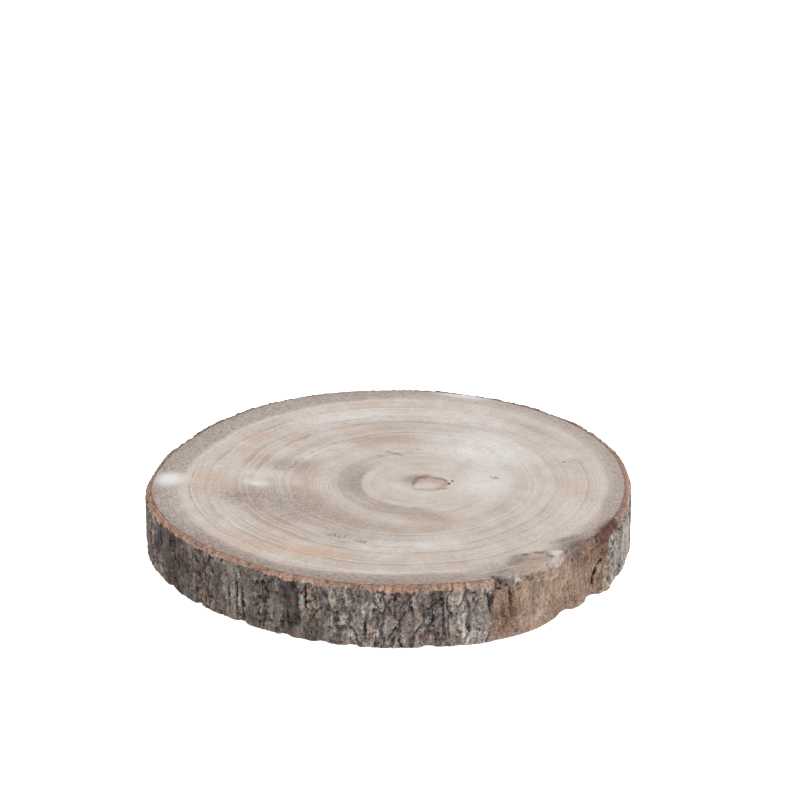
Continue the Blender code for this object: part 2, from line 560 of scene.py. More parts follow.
# Sapwood: (direction, width in millimetres, how grey and sharply edged, how
# soaked and dark beside the bark).
SAPWOOD_ROUND = (
    (0, 12, 0.6, 0.45),
    (40, 12, 0.5, 0.3),
    (70, 13, 0.4, 0.2),
    (95, 17, 0.72, 0.55),
    (120, 19, 0.75, 0.4),
    (150, 19, 0.9, 0.45),
    (172, 20, 0.8, 0.5),
    (185, 19, 0.6, 0.6),
    (205, 15, 0.6, 0.8),
    (225, 12, 0.85, 1.25),
    (245, 11, 0.7, 1),
    (265, 17, 0.8, 1.45),
    (290, 13, 0.45, 0.6),
    (320, 12, 0.55, 0.6),
    (340, 11, 0.5, 0.55),
)

# Where the bark is stained, and for the black patches mostly painted shade:
# (direction, height, half width in degrees, half height in millimetres,
# strength).
RED_PATCHES = (
    (334.5, 39, 4.8, 4, 0.95),
    (332, 36, 2.4, 3.6, 0.7),
    (345, 40, 8, 1, 0.3),
    (332.6, 29, 0.6, 9, 0.55),
    (247, 26, 0.7, 2, 0.9),
    (295.5, 38, 2.2, 2.6, 0.45),
    (258.5, 2, 2, 1.6, 0.6),
    (293.6, 30, 0.9, 5, 0.5),
)
PALE_PATCHES = (
    (254, 20, 1.2, 4, 0.7),
    (257.5, 15, 2.4, 3, 0.8),
    (262, 9, 1.6, 3, 0.9),
    (267.6, 13, 2, 3.5, 0.9),
    (272.5, 30, 1.2, 3, 0.6),
    (283.6, 34, 0.9, 3, 0.7),
    (284, 10, 1.2, 4, 0.5),
    (252, 38, 0.8, 1.2, 1),
    (289.5, 8, 3.4, 9, 0.9),
    (301, 38, 1.6, 2.2, 0.9),
    (306.5, 8, 3, 6, 0.7),
    (316, 36, 2, 3.5, 0.6),
    (338, 28, 3.2, 9, 0.8),
    (333, 6, 2.2, 4, 0.6),
    (346, 14, 5, 9, 0.7),
)
BROWN_PATCHES = (
    (297, 20, 3, 20, 0.95),
    (314, 8, 4.4, 9, 0.5),
    (331, 10, 3, 8, 1),
    (347, 33, 4, 7, 0.9),
    (323, 30, 5, 12, 0.6),
    (329.5, 31, 4, 11, 1),
    (326, 10, 5.5, 10, 0.5),
    (210.5, 20, 2.2, 13, 0.7),
    (221, 17, 3.4, 13, 0.7),
    (236, 4, 2, 3, 0.6),
    (303, 38, 1.4, 2, 0.9),
    (277, 8, 4, 5, 0.4),
    (246, 10, 1.4, 7, 0.5),
    (60, 18, 8, 12, 0.4),
    (150, 22, 9, 12, 0.4),
)
GREY_PATCHES = (
    (304.4, 31, 1.2, 6, 0.7),
    (304, 19, 0.9, 6, 0.5),
    (292.7, 22, 0.7, 8, 0.8),
)
WHITE_BARK_PATCHES = (
    (312.5, 39, 3, 2.2, 0.6),
    (299.4, 38, 0.8, 2.2, 0.9),
    (310.5, 31, 1.4, 1.2, 0.4),
)
EDGE_PATCHES = (
    (320, 40, 3.8, 3.4, 1),
    (316.4, 37, 0.9, 3.4, 0.9),
    (296.5, 40, 2.2, 2.4, 0.9),
    (294.6, 35.5, 1.6, 1, 1),
    (305, 27, 1.2, 1.6, 0.6),
    (299.5, 3, 1.6, 1.6, 0.7),
)
# Black patches: most lie along the deep cracks and holes and are painted shade there; the rest are
# dark specks.
BLACK_PATCHES = (
    (326.5, 12, 0.9, 3.4, 1),
    (327.3, 17, 0.9, 2.4, 1),
    (329, 21, 1.4, 1.4, 1),
    (346.5, 34, 4, 6, 0.45),
    (294.6, 35.5, 1.5, 0.9, 1),
    (296.6, 38.5, 0.8, 1, 0.9),
    (293.2, 26, 0.5, 8, 0.7),
    (299, 4, 1.2, 1.4, 0.6),
)


def keep_number(name, indices, values):
    """Keeps a number for each corner on the mesh."""
    numbers = np.zeros(len(blank.vertices))
    numbers[indices] = values
    attribute = blank.attributes.new(name, "FLOAT", "POINT")
    attribute.data.foreach_set("value", numbers)


def patched(places):
    """How strongly the strongest of some patches covers each corner of the bark."""
    strongest = np.zeros(len(bark_corners))
    for patch_direction, height, half_width, half_height, strength in places:
        aside = degrees_apart(patch_direction, bark_direction) / half_width + 0.5 * lump
        above = (bark_up - height) / half_height + 0.5 * sway + 0.4 * crumb
        patch = strength * (1 - smooth_step(0.4, 1.5, np.hypot(aside, above)))
        strongest = np.maximum(strongest, patch)
    return strongest


edges = np.empty(len(blank.edges) * 2, int)
blank.edges.foreach_get("vertices", edges)
edges = edges.reshape(-1, 2)
neighbours = np.bincount(edges.ravel(), minlength=len(drum))


def spread(values, times):
    """Each corner's value, averaged with its neighbours' so many times over."""
    for _ in range(times):
        total = np.bincount(edges[:, 0], values[edges[:, 1]], len(drum))
        total += np.bincount(edges[:, 1], values[edges[:, 0]], len(drum))
        values = (values + total) / (1 + neighbours)
    return values


# How far each bark corner lies below its neighbours.  The bark's finish paints shade into the
# hollow ones and highlights onto the proud ones from it.
depth = np.zeros(len(drum))
depth[bark_corners] = relief
hollow = (depth - spread(depth, HOLLOW_REACH))[bark_corners]
sawn = bare * smooth_step(1.5, 0.4, from_top) * (1 - wall_share**3)
sawn *= smooth_step(SAWN_TO + 2, SAWN_TO - 2, bark_direction)
for name, values in (
    ("hollow", 0.5 + 0.5 * np.clip(hollow / HOLLOW_FULL, -1, 1)),
    ("crack", np.clip(crack / CRACK_FULL, 0, 1)),
    ("plate", plate_number),
    ("pale", pale),
    ("rough", rough),
    ("inner_bark", rim),
    ("bare", bare),
    ("sawn", sawn),
    ("red_stain", patched(RED_PATCHES)),
    ("pale_stain", patched(PALE_PATCHES)),
    ("brown_stain", patched(BROWN_PATCHES)),
    ("grey_stain", patched(GREY_PATCHES)),
    ("edge_stain", patched(EDGE_PATCHES)),
    ("white_stain", patched(WHITE_BARK_PATCHES)),
    ("black_stain_and_crack_shade", patched(BLACK_PATCHES)),
):
    keep_number(name, bark_corners, values)

from_pith = corners[:, :2] / MM - PITH
length = np.maximum(np.hypot(from_pith[:, 0], from_pith[:, 1]), 1e-3)
grain = np.ones((len(drum), 3))
grain[:, :2] = from_pith / length[:, None]
grain[wood_corners, 2] = growth
attribute = blank.attributes.new("grain", "FLOAT_VECTOR", "POINT")
attribute.data.foreach_set("vector", grain.ravel())
full_growth = np.hypot(
    edge_radius * np.cos(edge_turn) - PITH[0], edge_radius * np.sin(edge_turn) - PITH[1]
)
inward = (1 - growth) * full_growth
everywhere = slice(None)
sapwood_width, sapwood_grey, soaked = round_the_trunk(SAPWOOD_ROUND, direction)
keep_number("inward", wood_corners, inward)
keep_number("sapwood", wood_corners, inward / sapwood_width[wood_corners])
keep_number("sapwood_grey", everywhere, sapwood_grey)
keep_number("soaked", everywhere, soaked)
keep_number("rimmed", everywhere, 1 - between(BARE_FROM, BARE_TO, 0.8, direction))

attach(sawn_slice, "root")
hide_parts("wood_slice")

# --------------------
# The sawn wood's finish.
# Dry, lightly whitened end grain, sanded but not varnished: soft rings, grey
# sapwood all round, stains where the wood stayed damp, and knots.

TOP_HEIGHT = THICKNESS / MM
SCREEN_GAMMA = 2.2


def shade(red, green, blue):
    """A colour given as screen values from 0 to 255, as the linear values nodes use."""
    return tuple((value / 255) ** SCREEN_GAMMA for value in (red, green, blue)) + (1.0,)


def shades(*colours):
    return tuple(shade(*colour) for colour in colours)


class Finish:
    """A material worked out from the place on the slice, in millimetres."""

    def __init__(self, name, roughness, specular):
        self.material = bpy.data.materials.new(name)
        self.material.use_nodes = True
        self.tree = self.material.node_tree
        self.shader = self.tree.nodes["Principled BSDF"]
        self.shader.inputs["Roughness"].default_value = roughness
        self.shader.inputs["Specular IOR Level"].default_value = specular
        coordinates = self.node("TexCoord").outputs["Object"]
        self.place = self.scaled(coordinates, (1 / MM,) * 3)

    def node(self, kind, inputs=None, **settings):
        """Adds a node.  Each input takes a value, or a socket to link from."""
        node = self.tree.nodes.new("ShaderNode" + kind)
        for name, value in settings.items():
            setattr(node, name, value)
        for socket, value in (inputs or {}).items():
            if isinstance(value, bpy.types.NodeSocket):
                self.tree.links.new(value, node.inputs[socket])
            else:
                node.inputs[socket].default_value = value
        return node

    def kept(self, name, output="Fac"):
        """A number kept on the mesh's corners."""
        return self.node("Attribute", attribute_name=name).outputs[output]

    def scaled(self, vector, factors):
        inputs = {0: vector, 1: factors}
        return self.node("VectorMath", inputs, operation="MULTIPLY").outputs[0]

    def moved(self, vector, offset):
        return self.node("VectorMath", {0: vector, 1: offset}, operation="ADD").outputs[0]

    def maths(self, operation, a, b=0.0, c=0.0):
        inputs = {0: a, 1: b, 2: c}
        return self.node("Math", inputs, operation=operation).outputs[0]

    def product(self, *factors, operation="MULTIPLY"):
        result = factors[0]
        for factor in factors[1:]:
            result = self.maths(operation, result, factor)
        return result

    def largest(self, *values):
        return self.product(*values, operation="MAXIMUM")

    def total(self, *parts):
        """Adds up pairs of (value, how much of it counts)."""
        result = 0.0
        for value, share in parts:
            result = self.maths("MULTIPLY_ADD", value, share, result)
        return result

    def noise(self, vector, size, detail=3.0, roughness=0.55, output="Fac"):
        """Noise whose lumps are about size millimetres across."""
        inputs = {"Vector": vector, "Scale": 1 / size, "Detail": detail, "Roughness": roughness}
        return self.node("TexNoise", inputs).outputs[output]

    def warped(self, vector, size, amount):
        """The place, pushed about by up to half of amount, for ragged shapes."""
        push = self.moved(self.noise(vector, size, output="Color"), (-0.5,) * 3)
        return self.moved(vector, self.scaled(push, (amount,) * 3))

    def step(self, value, low, high, start=0.0, end=1.0, kind="SMOOTHSTEP"):
        """start where value is low, end where it is high, smooth between them."""
        inputs = {"Value": value, 1: low, 2: high, 3: start, 4: end}
        return self.node("MapRange", inputs, interpolation_type=kind).outputs[0]

    def mix(self, share, a, b):
        """Colour a turning into colour b."""
        return self.node("Mix", {"Factor": share, 6: a, 7: b}, data_type="RGBA").outputs[2]

    def lay(self, colour, *factors):
        """Lays a colour over those so far, as strongly as the factors' product."""
        self.colour = self.mix(self.product(*factors), self.colour, colour)

    def ramp(self, value, low, high, colours):
        """Colours evenly spread from dark at low to light at high."""
        node = self.node("ValToRGB", {0: self.step(value, low, high, kind="LINEAR")})
        stops = node.color_ramp.elements
        while len(stops) < len(colours):
            stops.new(0.5)
        for number, colour in enumerate(colours):
            stops[number].position = number / (len(colours) - 1)
            stops[number].color = colour
        return node.outputs[0]

    def patch(self, flat, centre, size, turn, fade=0.8):
        """1 in the middle of an oval patch of the face, 0 outside it."""
        inputs = {
            "Vector": flat,
            "Location": (*centre, 0),
            "Rotation": (0, 0, math.radians(turn)),
            "Scale": (size[0] / 2, size[1] / 2, 1),
        }
        moved = self.node("Mapping", inputs, vector_type="TEXTURE").outputs[0]
        out = self.node("VectorMath", {0: moved}, operation="LENGTH").outputs["Value"]
        return self.step(out, 1 - fade, 1 + 0.25 * fade, 1.0, 0.0)

    def patches(self, flat, places):
        """The strongest of several patches: (x, y, length, width, turn, strength)."""
        strongest = 0.0
        for x, y, length, width, turn, strength in places:
            patch = self.product(self.patch(flat, (x, y), (length, width), turn), strength)
            strongest = self.largest(strongest, patch)
        return strongest

    def finish(self, relief, depth):
        """Connects the colour, and the relief as fine bump depth millimetres deep."""
        self.tree.links.new(self.colour, self.shader.inputs["Base Color"])
        inputs = {"Height": relief, "Distance": depth * MM, "Strength": 1.0}
        bump = self.node("Bump", inputs)
        self.tree.links.new(bump.outputs[0], self.shader.inputs["Normal"])
        return self.material


CREAM = shade(195, 184, 175)
BUFF = shade(182, 166, 154)
PALE_LINE = shade(206, 199, 193)
WHITENED = shade(213, 210, 208)
TAUPE = shade(148, 133, 124)
BAND_GREY = shade(160, 148, 140)
ORANGE_STAIN = shade(192, 158, 134)
RING_BROWN = shade(158, 136, 120)
PORE_DARK = shade(98, 84, 76)
FLECK_PALE = shade(224, 220, 216)
PITH_SKIN = shade(128, 98, 80)
PITH_WOOD = shade(176, 158, 146)
PITH_HEART = shade(196, 184, 175)
EDGE_LINE = shade(100, 74, 62)
KNOT_HOLE_SHADE = shade(50, 36, 31)
KNOT_BROWN = shade(170, 148, 134)
RED_BARK = shade(92, 60, 58)

# Where the wood is stained or whitened on the upper face, in millimetres from
# the middle: (x, y, length, width, turn in degrees, strength).
TAUPE_PATCHES = (
    (-64, -34, 100, 56, -30, 0.75),
    (-88, -22, 60, 34, -24, 0.85),
    (-48, -42, 150, 46, -38, 0.55),
    (-34, -80, 66, 20, -22, 0.12),
    (20, -50, 54, 22, -20, 0.65),
    (-62, 24, 44, 26, 8, 0.55),
    (-4, 90, 80, 14, 0, 0.3),
    (-20, 66, 70, 10, 16, 0.35),
    (92, 84, 50, 16, -42, 0.4),
    (30, -136, 70, 14, 4, 0.7),
    (112, -92, 56, 18, 38, 0.6),
    (62, -124, 44, 14, 20, 0.45),
    (-106, -92, 70, 16, -47, 0.7),
    (136, -30, 70, 12, 80, 0.45),
)
CRESCENT_PATCHES = ((-24, 2, 52, 84, 16, 0.90), (-4, -44, 60, 40, -20, 0.75))
WHITENED_PATCHES = (
    (60, 50, 92, 60, -38, 0.95),
    (60, -2, 44, 60, -20, 0.75),
    (40, 104, 120, 40, -16, 0.6),
    (-18, 104, 110, 40, 8, 0.75),
    (-80, 14, 48, 20, -4, 0.5),
    (-42, 46, 50, 22, 40, 0.65),
    (14, -94, 100, 26, 4, 0.65),
    (110, -40, 36, 60, 10, 0.35),
    (-96, -62, 30, 16, -45, 0.45),
)
WHITE_PATCHES = (
    (-137, 4, 25, 27, -10, 1),
    (-84, -1, 26, 12, -20, 0.6),
    (-83, -3, 12, 7, -30, 0.9),
    (50, 141, 50, 17, -20, 1),
    (102, -105, 19, 14, -16, 0.7),
    (96, -120, 30, 12, 50, 0.35),
    (78, -142, 5, 4, 0, 0.9),
    (-95, 60, 16, 4, 60, 0.3),
)
ORANGE_PATCHES = (
    (-84, 70, 30, 22, 40, 0.55),
    (-44, -103, 60, 17, -14, 0.8),
    (-84, -88, 70, 16, -36, 0.45),
    (30, -60, 40, 11, -8, 0.7),
    (-112, 0, 40, 40, 80, 0.4),
    (117, 33, 12, 8, -30, 0.7),
    (80, -131, 44, 9, 24, 0.6),
    (110, -10, 50, 24, 80, 0.3),
    (-50, -22, 30, 16, -20, 0.35),
)
TICKS = (
    (4, 44, 18, 5, -28, 0.8),
    (18, 50, 9, 3, -20, 0.8),
    (-6, 40, 10, 3, -34, 0.7),
    (66, 6, 10, 5, -45, 0.8),
    (118, 34, 4, 3, 40, 1),
    (122, 29, 4, 3, 20, 0.9),
    (111, 30, 4, 3, 0, 0.9),
    (-32, -79, 24, 8, -24, 0.7),
    (-16, -88, 14, 6, -24, 0.8),
)
KNOT_PATCHES = (
    (77, -112, 20, 13, 50, 0.7),
    (74, -118, 12, 7, 40, 0.6),
    (82, -105, 13, 4.5, 35, 0.9),
    (90, -102, 13, 4.5, 2, 0.95),
    (96, -105, 9, 5, -60, 0.95),
    (86, -112, 14, 4, 24, 0.45),
    (117, -91, 34, 19, 36, 1),
    (120, -90, 26, 16, 36, 1),
    (109, -99, 12, 6, -20, 1),
    (113, -105, 12, 4, -70, 1),
    (107, -84, 32, 8, 32, 0.55),
    (66, -129, 20, 5, 30, 0.5),
)
# Holes in the knots and the pith, painted near black as painted shade; most are also sunk into the
# face.
KNOT_HOLES = (
    (96.5, -107, 6, 2.6, -30, 0.95),
    (66, -137.5, 10, 5, -10, 0.9),
    (73, -138, 5, 7, 20, 1),
    (62, -136, 4, 4, 20, 0.8),
    (37.5, -3, 3.4, 5, 0, 0.9),
    (40, 1, 2, 3.4, 0, 0.8),
    (108, -100, 9, 4, -35, 1),
    (114, -97, 4, 3, 30, 0.9),
    (120, -92, 5, 2.5, 50, 0.9),
)
RED_EDGE = (
    (133, -68, 44, 14, 62, 1),
    (127, -83, 12, 8, 52, 0.9),
    (66, -138, 17, 9, 0, 0.6),
)

# Ring lines: (how many to a growth of 1, how broad, how strong).
RING_SETS = ((18, 0.06, 1), (40, 0.07, 0.7), (88, 0.08, 0.45))
CRESCENT_FROM, CRESCENT_FULL, CRESCENT_TO = 0.262, 0.276, 0.42


def sawn_wood_finish(name, height, whitening):
    """End grain seen on the face at that height."""
    wood = Finish(name, 0.8, 0.22)
    flat = wood.scaled(wood.place, (1, 1, 0))
    level = wood.moved(flat, (0, 0, height))
    ragged = wood.scaled(wood.warped(wood.warped(level, 30, 14), 6, 6), (1, 1, 0))
    close = wood.scaled(wood.warped(level, 3, 2.6), (1, 1, 0))
    grain = wood.kept("grain", "Vector")
    growth = wood.node("SeparateXYZ", {0: grain}).outputs["Z"]
    inward = wood.kept("inward")
    sapwood = wood.kept("sapwood")
    sapwood_grey = wood.kept("sapwood_grey")

    # Ring lines lie where slow noise along the growth crosses its middle.
    swayed = wood.maths("MULTIPLY_ADD", wood.noise(level, 40), 0.045, growth)
    ring_lines = 0
    for scale, broad, share in RING_SETS:
        inputs = {"W": swayed, "Scale": scale, "Detail": 1.5}
        ring = wood.node("TexNoise", inputs, noise_dimensions="1D").outputs[0]
        crossing = wood.maths("ABSOLUTE", wood.maths("SUBTRACT", ring, 0.5))
        ring_line = wood.product(wood.step(crossing, 0, broad, 1, 0), share)
        ring_lines = wood.largest(ring_lines, ring_line)
    ring_shown = wood.step(wood.noise(level, 26), 0.35, 0.58, 0.35, 1)
    inputs = {"W": swayed, "Scale": 12, "Detail": 3}
    wide = wood.node("TexNoise", inputs, noise_dimensions="1D").outputs[0]

    # Pores, and short fibres along the rings.
    fibres = wood.noise(wood.scaled(grain, (11, 11, 80)), 1, 4, 0.7)
    pores = wood.noise(level, 1.5, 4, 0.8)
    grains = wood.noise(wood.moved(level, (0, 0, 70)), 2.1, 5, 0.8)
    rays = wood.noise(wood.scaled(grain, (42, 42, 5)), 1, 3, 0.6)
    blotch = wood.noise(ragged, 16, 5, 0.65)

    tone = wood.total((blotch, 0.36), (wide, 0.28), (rays, 0.14), (fibres, 0.2), (grains, 0.14))
    wood.colour = wood.ramp(tone, 0.43, 0.68, (BUFF, CREAM, PALE_LINE))
    ring_lines = wood.product(ring_lines, ring_shown, wood.step(growth, 0.15, 0.55, 0.35, 1))
    calm = wood.step(wood.patch(flat, (84, 24), (150, 230), 0), 0, 1, 1, 0.4)
    ring_lines = wood.product(ring_lines, calm)
    wood.lay(RING_BROWN, ring_lines, 0.62)

    # Whitewash left in the open grain.
    white_noise = wood.step(wood.noise(ragged, 9, 5, 0.7), 0.25, 0.62, 0.3, 1)
    wood.lay(WHITENED, wood.patches(ragged, WHITENED_PATCHES), white_noise, whitening)

    # Stains.  The one left of the pith stops sharply at a ring.
    patchy = wood.step(wood.noise(ragged, 8, 5, 0.75), 0.28, 0.62, 0.35, 1)
    wood.lay(ORANGE_STAIN, wood.patches(ragged, ORANGE_PATCHES), patchy)
    taupe = wood.product(wood.patches(ragged, TAUPE_PATCHES), patchy)
    crescent_edge = wood.step(swayed, CRESCENT_FROM, CRESCENT_FULL)
    crescent_fade = wood.step(swayed, CRESCENT_FULL, CRESCENT_TO, 1, 0)
    crescent_patches = wood.patches(flat, CRESCENT_PATCHES)
    crescent = wood.product(crescent_edge, crescent_fade, crescent_patches, 0.85)
    taupe = wood.largest(taupe, crescent)
    wood.lay(TAUPE, taupe)
    wood.lay(RING_BROWN, ring_lines, 0.22)

    # Grey sapwood, with a pale ring just inside it at the left and the back.
    reach = wood.maths("MULTIPLY_ADD", wood.noise(ragged, 20, 4, 0.6), 0.5, sapwood)
    sharp = wood.step(sapwood_grey, 0.4, 0.8)
    ring_start = wood.step(reach, 1.16, 1.28)
    ring_end = wood.step(reach, 1.3, 1.5, 1, 0)
    wood.lay(PALE_LINE, ring_start, ring_end, sharp, 0.25)
    near = wood.maths("MULTIPLY_ADD", sharp, 0.35, 0.7)
    band = wood.product(wood.step(reach, near, 1.3, 1, 0, kind="LINEAR"), sapwood_grey)
    wood.lay(BAND_GREY, band)
    soaked = wood.total((inward, 1), (wood.noise(ragged, 7, 4, 0.7), 8))
    soaked = wood.product(wood.step(soaked, 4, 20, 1, 0), wood.kept("soaked"))
    wood.lay(TAUPE, soaked)

    # Fine speckle, strongest where the wood is stained.
    stained = wood.largest(taupe, soaked, wood.product(band, 0.85))
    speckled = wood.step(stained, 0, 0.75, 0.38, 1)
    pins = wood.noise(wood.scaled(grain, (52, 52, 210)), 1, 2, 0.6)
    dark_pins = wood.step(pins, 0.52, 0.66, 0, 0.58)
    wood.lay(PORE_DARK, dark_pins, speckled)
    pale_pins = wood.step(pins, 0.36, 0.48, 0.22, 0)
    wood.lay(FLECK_PALE, pale_pins, speckled)
    dark_specks = wood.step(wood.total((grains, 0.6), (fibres, 0.4)), 0.5, 0.66, 0, 0.55)
    wood.lay(PORE_DARK, dark_specks, speckled)
    pale_specks = wood.step(wood.total((pores, 0.6), (fibres, 0.4)), 0.52, 0.68, 0, 0.32)
    wood.lay(FLECK_PALE, pale_specks, speckled)
    wood.lay(PORE_DARK, wood.patches(close, TICKS), wood.step(pores, 0.46, 0.54))

    # The pith: a small oval knot with a light heart in a thin brown skin.
    heart = wood.scaled(wood.warped(level, 9, 11), (1, 1, 0))
    x, y = PITH
    # A darker patch to the back and left of the pith.
    darker_back_left = wood.patch(heart, (x - 9, y + 7), (30, 20), 20, fade=0.9)
    wood.lay(TAUPE, darker_back_left, 0.8)
    skin_shown = wood.step(wood.noise(level, 6, 2), 0.35, 0.62, 0.35, 0.95)
    wood.lay(PITH_SKIN, wood.patch(heart, (x, y + 0.5), (24, 26), 0, fade=0.2), skin_shown)
    inside = wood.patch(heart, (x + 0.2, y - 1.2), (21, 20), 0, fade=0.25)
    wood.lay(PITH_WOOD, inside)
    middle = wood.patch(heart, (x - 2, y - 3.5), (17, 13), 0, fade=0.6)
    wood.lay(PITH_HEART, middle)

    if height > 0:
        # The branch knot, the white knots, and painted shade in the holes.
        knot = wood.patch(close, (87, -114), (26, 24), 22, fade=0.5)
        knot_grain = wood.noise(wood.scaled(close, (0.5, 1.2, 1)), 2.6, 4, 0.7)
        wood.lay(KNOT_BROWN, knot, wood.step(knot_grain, 0.38, 0.58))
        dark_shown = wood.step(pores, 0.36, 0.56, 0.55, 1)
        wood.lay(PORE_DARK, wood.patches(close, KNOT_PATCHES), dark_shown)
        white_shown = wood.step(grains, 0.3, 0.5, 0.6, 1)
        wood.lay(WHITENED, wood.patches(close, WHITE_PATCHES), white_shown)
        red_shown = wood.step(pores, 0.36, 0.54, 0.3, 1)
        wood.lay(RED_BARK, wood.patches(close, RED_EDGE), red_shown)
        # Painted shade: the holes are painted near black.
        wood.lay(KNOT_HOLE_SHADE, wood.patches(close, KNOT_HOLES))

    # A dark line where the wood meets the inner bark.
    line = wood.total((inward, 1), (wood.noise(level, 4, 2), 2))
    wood.lay(EDGE_LINE, wood.step(line, 1, 2.4, 0.85, 0), wood.kept("rimmed"))

    relief = wood.total((fibres, 0.6), (pores, 0.6))
    return wood.finish(relief, 0.3)


# --------------------
# The bark's finish.
# Weathered grey bark dusted with pale lichen and brown where it has flaked, with
# painted shade that darkens it to nearly black down the furrows and cracks, and
# painted highlights on what stands proud.  Torn inner bark is tan to red-brown,
# and so are the fibres bared by the branch.

BARK_GREYS = shades((44, 37, 33), (84, 76, 71), (118, 111, 106), (160, 154, 148), (200, 194, 188))
BARK_BROWNS = shades((48, 35, 29), (94, 74, 62), (130, 106, 92), (164, 140, 124), (196, 176, 160))
BARE_TANS = shades((84, 62, 51), (124, 100, 86), (152, 128, 112), (178, 157, 142), (210, 195, 182))
RIM_TANS = shades((84, 58, 48), (138, 107, 92), (174, 140, 121), (198, 171, 153), (228, 213, 200))
SAWN_TANS = shades((112, 92, 80), (164, 144, 130), (190, 174, 162), (206, 194, 184))
EDGE_GREYS = shades((40, 34, 32), (92, 84, 80), (130, 120, 114), (160, 150, 144))
# Near black: painted shade in the deep crevices and cracks, and the bark's own dark lines, dashes
# and specks.
CREVICE_SHADE_AND_BLACK = shade(24, 18, 15)
CREVICE_RED = shade(104, 48, 36)
BARK_REDS = shades((62, 38, 36), (92, 60, 56), (118, 84, 78), (150, 118, 108))
# Pale lichen, also used for painted highlights on the ridges.
LICHEN_AND_HIGHLIGHT = shade(204, 198, 192)
SLATE = shade(112, 112, 114)

# Thin cracks: (size across, size up, in millimetres, how broad, how strong).
CRACK_SETS = ((8, 26, 0.05, 1), (3.2, 10, 0.06, 0.7))


